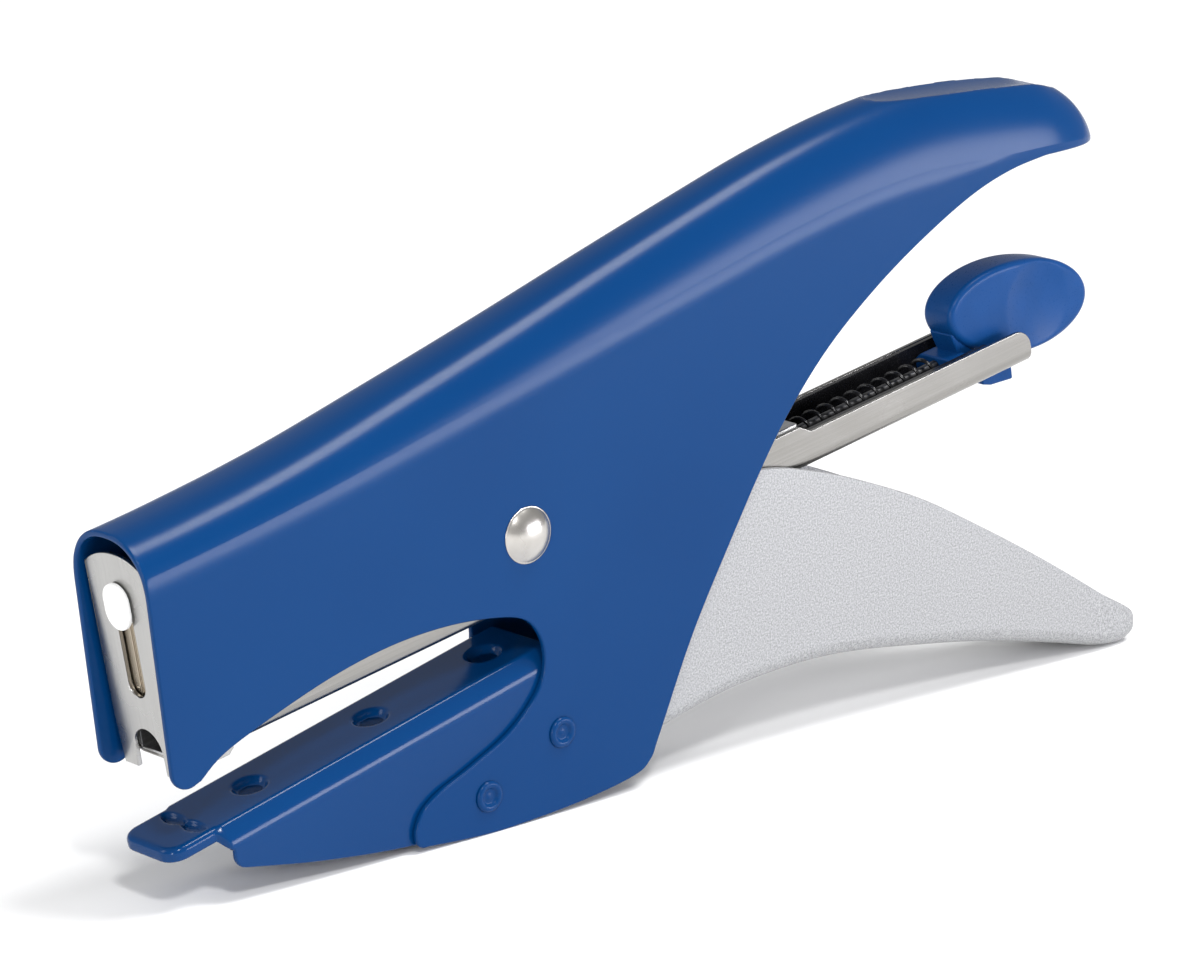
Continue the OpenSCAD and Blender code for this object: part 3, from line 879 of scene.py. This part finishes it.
def nose_plate():
    """Front plate with its upright slot, arched foot and the two ears round the channel."""
    thick = 0.8
    notch = arc((0, -9.9), 3.3, 180, 0, 16)
    top = arc((0, 8.9), 12, 54, 126, 16)
    outline = ([(-6.5, -13.2), (-3.4, -13.2)] + notch
               + [(3.4, -13.2), (6.5, -13.2), (7.1, -6), (7.1, 18.6)] + top
               + [(-7.1, 18.6), (-7.1, -6)])
    slot = arc((0, 14.2), 2, 0, 180, 16) + arc((0, 0.5), 2, 180, 360, 16)
    mesh = plate_mesh([outline, slot], thick, 0.16)
    stand = Matrix(((0, 0, 1, NOSE_U + thick / 2), (1, 0, 0, 0), (0, 1, 0, 0), (0, 0, 0, 1)))
    mesh.transform(stand)
    bm = bmesh.new()
    bm.from_mesh(mesh)
    bpy.data.meshes.remove(mesh)
    bmesh.ops.remove_doubles(bm, verts=bm.verts[:], dist=0.002)
    for s in (-1, 1):
        side = s * (MAG_HALF + 0.35)
        ear = [(NOSE_U + u, v) for u, v in [(0.75, -12.4), (8.7, -12.4), (9.7, -11.6), (9.7, -9),
                                            (8.9, -8.2), (0.75, -8.2)]]
        prism(bm, ear, side - 0.33, side + 0.33)
    obj = place("nose_plate_sheet", bm, IN_MAG, LOOKS["nose"], "magazine", ["nose_plate"])
    return soften(obj, 0.1, 2, 60)


def staples():
    """The strip as separate bent wires."""
    rng = random.Random(4)
    count, pitch, wire = 50, 0.52, 0.47
    bm = bmesh.new()
    section = [(-5.65, -10.7), (-5.65, -7.15), (-5.5, -6.88), (-5.3, -6.8), (5.3, -6.8),
               (5.5, -6.88), (5.65, -7.15), (5.65, -10.7), (5.1, -10.7), (5.1, -7.45),
               (5.0, -7.35), (-5.0, -7.35), (-5.1, -7.45), (-5.1, -10.7)]
    for k in range(count):
        u = NOSE_U + 1.75 + pitch * k
        drop = rng.uniform(-0.02, 0.02)
        prism(bm, [(y, v + drop) for y, v in section], u, u + wire, axis="x")
    obj = place("staple_wires", bm, IN_MAG, LOOKS["plain"], "magazine", ["staple_strip"])
    return soften(obj, 0.07, 2, 50)


def return_spring():
    """Lifting spring: coils and lower legs on the magazine, upper legs up to the driver."""
    wire, coil = 0.45, 3.65
    bm = bmesh.new()
    for s in (-1, 1):
        turns = [(coil * math.sin(a), s * (4.2 - 1.1 * a / (4 * math.pi)), coil * math.cos(a))
                 for a in [math.pi * k / 16 for k in range(57)]]
        lower = [(-u, s * 3.65, -coil) for u in (0.5, 12, 24, 35.5)]
        tube(bm, turns, wire, 12)
        tube(bm, lower, wire, 12)
    tube(bm, [(-36, -4, -coil), (-36, 0, -coil), (-36, 4, -coil)], wire, 12)
    place("return_spring_coils", bm, IN_MAG, LOOKS["dark"], "magazine", ["return_spring"])
    bm = bmesh.new()
    for s in (-1, 1):
        leg = [(-60.5 * k / 40, s * 4.2, coil - 1.69 * k / 40) for k in range(41)]
        tube(bm, leg, wire, 12)
    legs = place("return_spring_legs", bm, IN_MAG, LOOKS["dark"], None, ["return_spring"])
    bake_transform(legs)


# ---------- driver ----------


def pad_rows(a, b, half, edge, outline, height, steps=6, rings=14):
    """Rows of a pad from the middle of one face, over its rounded edge, to the other face."""
    rows = [(t / rings * (a - edge), t / rings * (b - edge), half) for t in range(1, rings + 1)]
    for k in range(1, steps + 1):
        turn = math.radians(90 * k / steps)
        inset = edge * (1 - math.sin(turn))
        rows.append((a - inset, b - inset, half - edge * (1 - math.cos(turn))))
    near = [[(p, -height(p, h)) for p in outline(ra, rb)] for ra, rb, h in rows]
    far = [[(p, height(p, h)) for p in outline(ra, rb)] for ra, rb, h in reversed(rows)]
    return near + far


def button():
    """White capsule button with its neck in the slot."""
    centre, half_h, half_w = 13, 3.6, 2.7

    def outline(a, b):
        straight = max(a - b, 0) if a > 0.01 else 0
        top = arc((0, centre + straight), b, 0, 180, 24)
        return top + arc((0, centre - straight), b, 180, 360, 24)

    def depth(point, h):
        crown = 0.22 * (((point[1] - centre) / half_h) ** 2 + (point[0] / half_w) ** 2) / 2
        return h - min(crown, 0.2) if h > 0.5 else h

    bm = bmesh.new()
    rows = pad_rows(half_h, half_w, 0.6, 0.5, outline, depth, 6, 8)
    mid = NOSE_U - 0.65
    verts = grid(bm, [[(mid + y, p[0], p[1]) for p, y in row] for row in rows], closed=True)
    bm.faces.new(verts[0])
    bm.faces.new(verts[-1])
    neck = [(-1.7, 10.5), (1.7, 10.5), (1.7, 13.9), (1.1, 14.1), (-1.1, 14.1), (-1.7, 13.9)]
    prism(bm, neck, NOSE_U - 0.1, NOSE_U + 0.93, axis="x")
    return place("slot_button", bm, IN_MAG, LOOKS["button"], "driver", ["driver_button"])


# ---------- pusher ----------

# finger fin: middle, half length, half height, half thickness and tilt
KNOB = (109.8, -3.9)
KNOB_LONG, KNOB_HIGH, KNOB_HALF = 16, 7.6, 3.3
KNOB_TILT = math.radians(-13)
# dish in its sides: middle, radius of its ball and depth
DISH, DISH_R, DISH_DEPTH = (113.5, -4.6), 28.2, 1.0
# neck and foot of the fin, stem and foot of the hook in the side view, then the rod's socket
NECK = [(94.4, -3.4), (95.2, -6), (96, -8), (96, -10.68), (104, -10.68), (104, -4)]
STEM = [(101.8, -10.5), (101.8, -12.5), (105.6, -12.5), (105.6, -10.5)]
HOOK = [(99.2, -12), (99.2, -13.5), (101, -14.2), (105.8, -14.8), (105.9, -12)]
SOCKET = [(-4.7, -10.65), (4.7, -10.65), (4.7, -8), (3.2, -6.9), (-3.2, -6.9), (-4.7, -8)]


def knob():
    """Finger fin with dished sides, its neck, and the hook under the channel."""
    sides = 120

    def outline(a, b):
        """Tilted ellipse, cut off just above the floor of the channel and freer behind it."""
        points = []
        for k in range(sides):
            t = 2 * math.pi * k / sides
            u, v = turned((a * math.cos(t), b * math.sin(t)), KNOB_TILT)
            u, v = u + KNOB[0], v + KNOB[1]
            points.append((u, max(v, -11.05 - 1.6 * smooth((u - 107.75) / 0.5))))
        return points

    def height(point, h):
        """Half thickness, thinner toward the rear end and dished there."""
        away = math.hypot(point[0] - DISH[0], point[1] - DISH[1])
        floor = KNOB_HALF + DISH_R - DISH_DEPTH - math.sqrt(DISH_R ** 2 - min(away, 20) ** 2)
        taper = 1 - 0.4 * smooth((point[0] - KNOB[0] + 4) / 20)
        return min(h, floor) * taper

    bm = bmesh.new()
    rows = pad_rows(KNOB_LONG, KNOB_HIGH, KNOB_HALF, 1.1, outline, height, 6, 26)
    verts = grid(bm, [[(p[0], y, p[1]) for p, y in row] for row in rows], closed=True)
    bm.faces.new(verts[0])
    bm.faces.new(verts[-1])
    obj = place("finger_fin", bm, IN_MAG, LOOKS["knob"], "pusher", ["thumb_knob"])
    bm = bmesh.new()
    for part, half in ((NECK, 2.5), (STEM, 1.8), (HOOK, 3.28)):
        prism(bm, part, -half, half)
    prism(bm, SOCKET, 92.61, 96.4, axis="x")
    foot = place("finger_fin_foot", bm, IN_MAG, LOOKS["knob"], "pusher")
    return obj, soften(foot, 0.35, 3, 35)


def follower_spring():
    """Compression spring on the guide rod, as one helix carried by the pusher."""
    turns, start, end = 40, -27.6, 91.9
    radius, wire = 2.0, 0.33
    steps = turns * 18
    path = []
    for k in range(steps + 1):
        t = k / steps
        a = 2 * math.pi * turns * t
        u = start + (end - start) * t
        path.append((u, radius * math.cos(a), ROD_V + radius * math.sin(a)))
    bm = bmesh.new()
    tube(bm, path, wire, 8)
    obj = place("follower_coil", bm, IN_MAG, LOOKS["black"], "pusher", ["follower_spring"])
    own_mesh(obj)
    return obj


# ---------- CAD nodes that stay ----------

# finish and width of the softened edges
KEPT = {"pivot_spacer": ("plain", 0.2), "lever_bushes": ("brass", 0.1),
        "drive_pin": ("plain", 0.2), "driver_blade": ("warm", 0.08),
        "driver_carrier": ("dark", 0.3), "core_rail": ("plain", 0.1),
        "magazine_cover": ("plain", 0.12), "pusher_rail": ("black", 0.12),
        "guide_rod": ("dark", 0.1), "follower_shoe": ("black", 0.2)}


def dress_kept():
    """Finish and softened edges for the nodes whose shape is already right."""
    for node, (look, edge) in KEPT.items():
        obj = frame["nodes"][node]
        obj.data.materials.clear()
        obj.data.materials.append(LOOKS[look])
        weld = obj.modifiers.new("weld", "WELD")
        weld.merge_threshold = 0.002 * MM
        soften(obj, edge, 2, 35)


# ---------- studio ----------


# softboxes: name, place and aim in metres from the rivet, width, height, watts and colour
WHITE, COOL = (1, 1, 1), (0.93, 0.93, 1)
SOFTBOXES = (
    ("low_front", (0.45, -0.6, 0.085), (0.02, 0, 0.02), 0.55, 0.17, 4.0, COOL),
    ("left_strip", (-0.78, -0.43, 0.11), (-0.03, 0, -0.01), 0.05, 0.4, 3.0, WHITE),
    ("upper_front", (-0.3, -0.55, 0.62), (0, 0, 0), 0.12, 0.12, 3.0, WHITE),
    ("rear_left", (-0.8, 0.5, 0.45), (0, 0, 0), 0.35, 0.5, 2.0, WHITE))
# light from above: strength, how wide it looks, and where it shines
SUN_STRENGTH = 1.9
SUN_ANGLE = math.radians(20)
SUN_AHEAD = Vector((-0.26, 0.25, -0.93))
WORLD_STRENGTH = 0.45
# camera: focal length and sensor, place in millimetres from the rivet, view direction and roll
LENS, SENSOR = 179.85, 36
CAMERA_AT = Vector((-549.68, -661.51, 242.98))
CAMERA_AHEAD = Vector((0.63053, 0.72938, -0.26539))
CAMERA_ROLL = math.radians(0.994)


def floor():
    """Pale matt floor, wide enough for every view."""
    bm = bmesh.new()
    reach = 6.0
    n = 8
    rows = [[(-reach + 2 * reach * i / n, -reach + 2 * reach * j / n, 0) for j in range(n + 1)]
            for i in range(n + 1)]
    grid(bm, rows)
    look = Look("pale_floor", Roughness=0.9, Specular_IOR_Level=0.0)
    tone = look.noise((300, 300, 300), 1)
    look.colour(look.spread(tone, 0, 1), (0.93, 0.93, 0.93), (0.94, 0.94, 0.94))
    mesh = bpy.data.meshes.new("floor")
    bm.to_mesh(mesh)
    bm.free()
    mesh.materials.append(look.mat)
    obj = bpy.data.objects.new("floor", mesh)
    bpy.context.scene.collection.objects.link(obj)


def softbox(name, at, aim, width, height, power, colour):
    """Soft area light aimed at a point."""
    light = bpy.data.lights.new(name, "AREA")
    light.shape = "RECTANGLE"
    light.size = width
    light.size_y = height
    light.energy = power
    light.color = colour
    obj = bpy.data.objects.new(name, light)
    obj.location = PIVOT + Vector(at)
    obj.rotation_euler = (Vector(aim) - Vector(at)).to_track_quat("-Z", "Y").to_euler()
    bpy.context.scene.collection.objects.link(obj)


def overhead():
    """Broad even light from above that whitens the floor and draws the crest's highlight."""
    light = bpy.data.lights.new("overhead", "SUN")
    light.energy = SUN_STRENGTH
    light.angle = SUN_ANGLE
    obj = bpy.data.objects.new("overhead", light)
    obj.rotation_euler = SUN_AHEAD.to_track_quat("-Z", "Y").to_euler()
    bpy.context.scene.collection.objects.link(obj)


def studio():
    """Even surroundings and all lights."""
    world = bpy.data.worlds.new("studio")
    bpy.context.scene.world = world
    world.use_nodes = True
    surround = world.node_tree.nodes["Background"]
    surround.inputs["Color"].default_value = (*WHITE, 1)
    surround.inputs["Strength"].default_value = WORLD_STRENGTH
    overhead()
    for box in SOFTBOXES:
        softbox(*box)
    bpy.context.scene.view_settings.view_transform = "Standard"


def camera():
    """The photograph's long lens, from the nose's left and a little above."""
    cam = bpy.data.cameras.new("camera")
    cam.sensor_width = SENSOR
    cam.lens = LENS
    cam.clip_end = 50
    obj = bpy.data.objects.new("camera", cam)
    ahead = CAMERA_AHEAD.normalized()
    level = ahead.cross(Vector((0, 0, 1))).normalized()
    rise = level.cross(ahead)
    c, s = math.cos(CAMERA_ROLL), math.sin(CAMERA_ROLL)
    right = level * c - rise * s
    up = level * s + rise * c
    turn = Matrix((right, up, -ahead)).transposed()
    obj.matrix_world = Matrix.Translation(PIVOT + CAMERA_AT * MM) @ turn.to_4x4()
    bpy.context.scene.collection.objects.link(obj)
    bpy.context.scene.camera = obj


# ---------- the part ----------

housing()
anvil_arm()
clinch_rings()
main_rivet()
lever()
channel()
nose_plate()
staples()
return_spring()
button()
knob()
follower_spring()
dress_kept()
floor()
studio()
camera()

bpy.context.view_layer.update()
